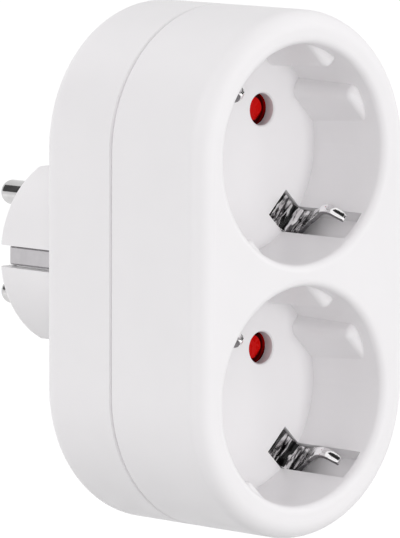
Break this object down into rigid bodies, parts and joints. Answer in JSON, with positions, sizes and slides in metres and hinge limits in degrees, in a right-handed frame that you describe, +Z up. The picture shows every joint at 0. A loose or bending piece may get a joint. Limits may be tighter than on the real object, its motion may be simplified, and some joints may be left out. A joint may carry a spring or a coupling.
{
  "type": "multi socket adapter",
  "caption": "Mains adapter that plugs straight into a wall socket and carries round recessed earthed sockets one above the other, with turning shutters behind the pin holes.",
  "frame": {"origin": "middle of the plug nose's end face, where the two pins stand out", "axes": "+X to the right seen from the front, +Y from the front back to the wall, +Z up"},
  "size_m": [0.0524, 0.0822, 0.0966],
  "materials": {
    "housing_white": "satin moulded, very finely textured",
    "shutter_red": "smooth moulded",
    "pin_nickel": "bright nickel plate",
    "earth_nickel": "nickel plated sheet",
    "busbar_brass": "stamped sheet",
    "spring_steel": "drawn wire",
    "fixing_steel": "zinc plated"
  },
  "bodies": {
    "housing": {"front_housing": "housing_white", "rear_housing": "housing_white", "upper_plug_pin": "pin_nickel", "lower_plug_pin": "pin_nickel", "right_busbar": "busbar_brass", "left_busbar": "busbar_brass", "upper_right_contact": "busbar_brass", "upper_left_contact": "busbar_brass", "lower_right_contact": "busbar_brass", "lower_left_contact": "busbar_brass", "earth_busbar": "busbar_brass", "upper_earth_clip": "earth_nickel", "lower_earth_clip": "earth_nickel", "plug_earth_bracket": "earth_nickel", "earth_rivets": "fixing_steel", "housing_screws": "fixing_steel", "upper_shutter_spring": "spring_steel", "lower_shutter_spring": "spring_steel", "upper_shutter_cover": "housing_white", "lower_shutter_cover": "housing_white"},
    "upper_shutter": {"upper_shutter": "shutter_red"},
    "lower_shutter": {"lower_shutter": "shutter_red"}
  },
  "joints": [
    {"name": "upper_shutter_turn", "type": "hinge", "parent": "housing", "child": "upper_shutter", "pos_m": [0, -0.0421, 0.0221], "axis": [0, -1, 0], "range_deg": [0, 48], "stiffness_Nm_per_rad": 0.002, "springref_deg": -11.46, "deforming": ["upper_shutter_spring"]},
    {"name": "lower_shutter_turn", "type": "hinge", "parent": "housing", "child": "lower_shutter", "pos_m": [0, -0.0421, -0.0221], "axis": [0, -1, 0], "range_deg": [0, 48], "stiffness_Nm_per_rad": 0.002, "springref_deg": -11.46, "deforming": ["lower_shutter_spring"]}
  ]
}
